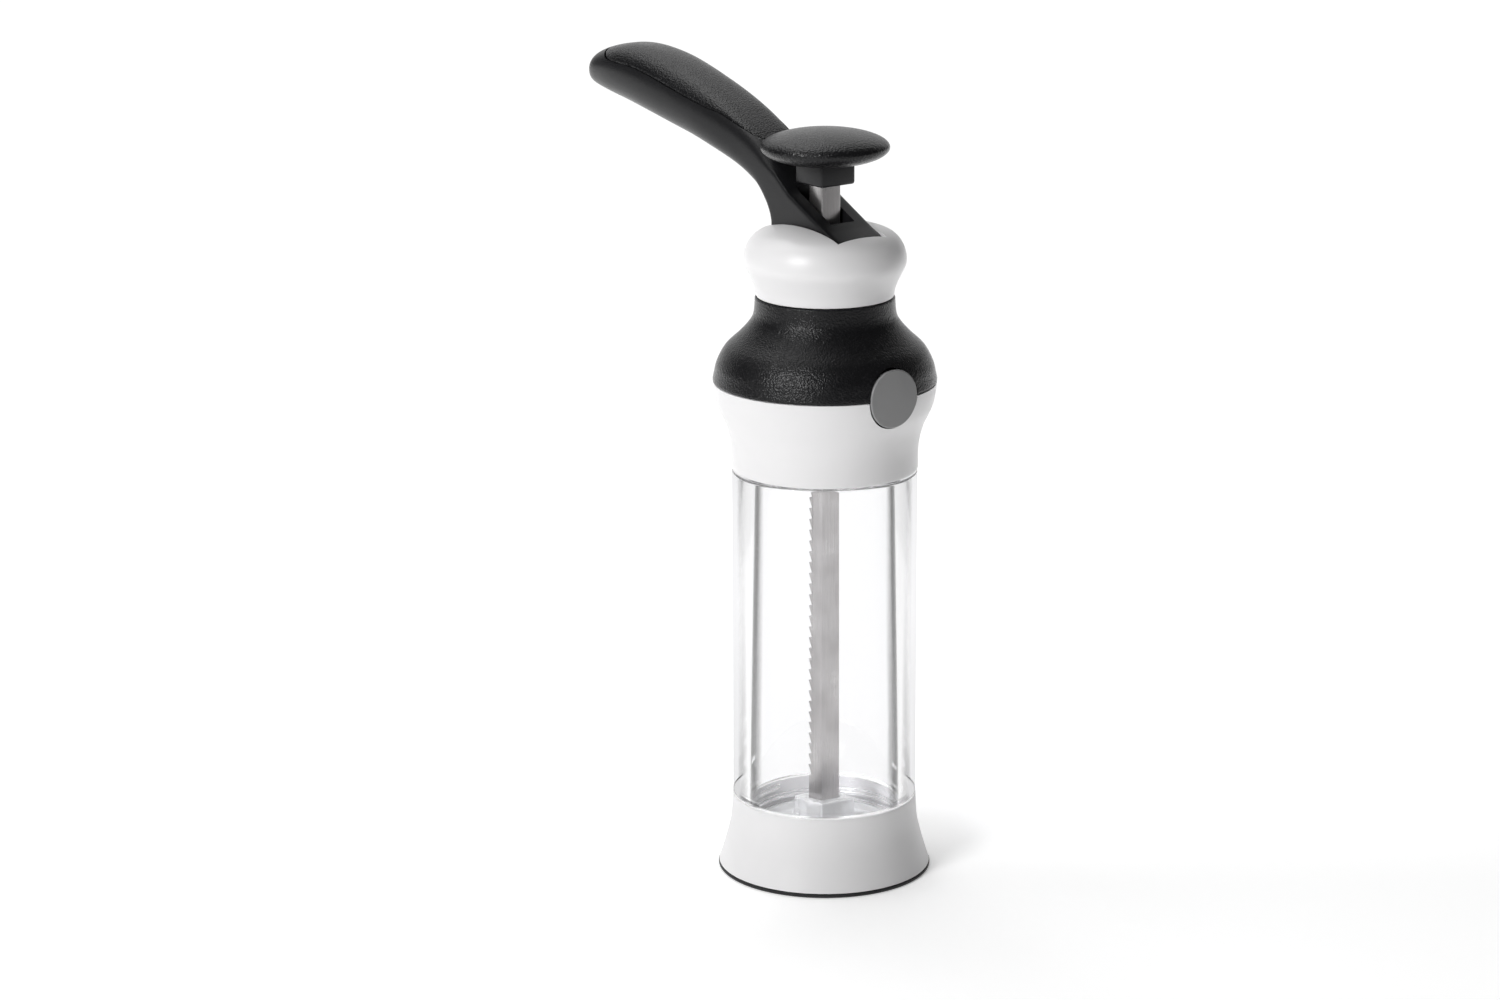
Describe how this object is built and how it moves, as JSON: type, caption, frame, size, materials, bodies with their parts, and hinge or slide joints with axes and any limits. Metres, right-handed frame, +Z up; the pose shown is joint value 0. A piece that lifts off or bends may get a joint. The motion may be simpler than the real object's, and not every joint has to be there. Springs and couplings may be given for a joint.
{
  "type": "cookie press",
  "caption": "Hand-lever cookie press with a clear barrel, ratchet plunger, squeeze lever, release button and flared screw-on base.",
  "frame": {"origin": "middle of the whole object's box in plan, on the plane that the foot ring rests on", "axes": "+Z up along the barrel; +X the front, where the release button is; the lever's grip runs to -X"},
  "size_m": [0.1508, 0.0694, 0.251],
  "materials": {
    "white_shell": "glossy white moulded ABS",
    "soft_black": "fine-grained soft-touch elastomer",
    "satin_black": "satin black nylon",
    "clear_plastic": "clear polished copolyester",
    "stainless": "brushed stainless steel",
    "spring_steel": "drawn spring wire",
    "grey_button": "satin grey plastic",
    "natural_nylon": "matt natural nylon",
    "foot_rubber": "matt black rubber"
  },
  "bodies": {
    "housing": {"body_shell": "white_shell", "grip_sleeve": "soft_black", "collar_shell": "white_shell", "chassis": "natural_nylon", "rack_guide_lower": "natural_nylon", "rack_guide_upper": "natural_nylon", "barrel_gasket": "foot_rubber", "chassis_screw_1": "stainless", "chassis_screw_2": "stainless", "chassis_screw_3": "stainless", "chassis_screw_4": "stainless", "lever_pin": "stainless", "lever_pin_clip_left": "stainless", "lever_pin_clip_right": "stainless", "lever_return_spring": "spring_steel", "lock_pawl_pin": "stainless", "lock_pawl_spring": "spring_steel"},
    "barrel": {"barrel": "clear_plastic"},
    "disc": {"cookie_disc": "stainless"},
    "base": {"base_cap": "white_shell", "nonslip_ring": "foot_rubber"},
    "lever": {"lever_body": "satin_black", "lever_grip_pad": "soft_black", "drive_pawl_pin": "stainless", "drive_pawl_spring": "spring_steel"},
    "drive_pawl": {"drive_pawl": "stainless"},
    "lock_pawl": {"lock_pawl": "stainless"},
    "release": {"release_button": "grey_button", "release_yoke": "natural_nylon"},
    "plunger": {"rack": "stainless", "piston": "clear_plastic", "rack_pin": "stainless", "knob_hub": "satin_black", "knob_cap": "soft_black", "knob_pin": "stainless"}
  },
  "joints": [
    {"name": "lever_squeeze", "type": "hinge", "parent": "housing", "child": "lever", "pos_m": [0.05365, 0, 0.197], "axis": [0, -1, 0], "range_deg": [0, 26], "stiffness_Nm_per_rad": 0.8, "springref_deg": -17.19},
    {"name": "drive_pawl_swing", "type": "hinge", "parent": "lever", "child": "drive_pawl", "pos_m": [0.03115, 0, 0.206], "axis": [0, 1, 0], "range_deg": [0, 15], "stiffness_Nm_per_rad": 0.02, "springref_deg": -17.19},
    {"name": "button_press", "type": "slide", "parent": "housing", "child": "release", "axis": [-1, 0, 0], "range_m": [0, 0.004], "stiffness_N_per_m": 500, "springref_m": -0.002},
    {"name": "lock_pawl_swing", "type": "hinge", "parent": "housing", "child": "lock_pawl", "pos_m": [0.03065, 0, 0.172], "axis": [0, 1, 0], "range_deg": [0, 18]},
    {"name": "plunger_lift", "type": "slide", "parent": "housing", "child": "plunger", "axis": [0, 0, 1], "range_m": [0, 0.1]},
    {"name": "barrel_twist", "type": "hinge", "parent": "housing", "child": "barrel", "pos_m": [0.04165, 0, 0.13], "axis": [0, 0, 1], "range_deg": [0, 45]},
    {"name": "base_travel", "type": "slide", "parent": "barrel", "child": "disc", "axis": [0, 0, -1], "range_m": [0, 0.0076]},
    {"name": "base_turn", "type": "hinge", "parent": "disc", "child": "base", "pos_m": [0.04165, 0, 0.012], "axis": [0, 0, -1], "range_deg": [0, 900]}
  ],
  "couplings": [
    {"joint": "lock_pawl_swing", "follows": "button_press", "rad_per_m": 76.923},
    {"joint": "base_travel", "follows": "base_turn", "m_per_rad": 0.00047746}
  ]
}
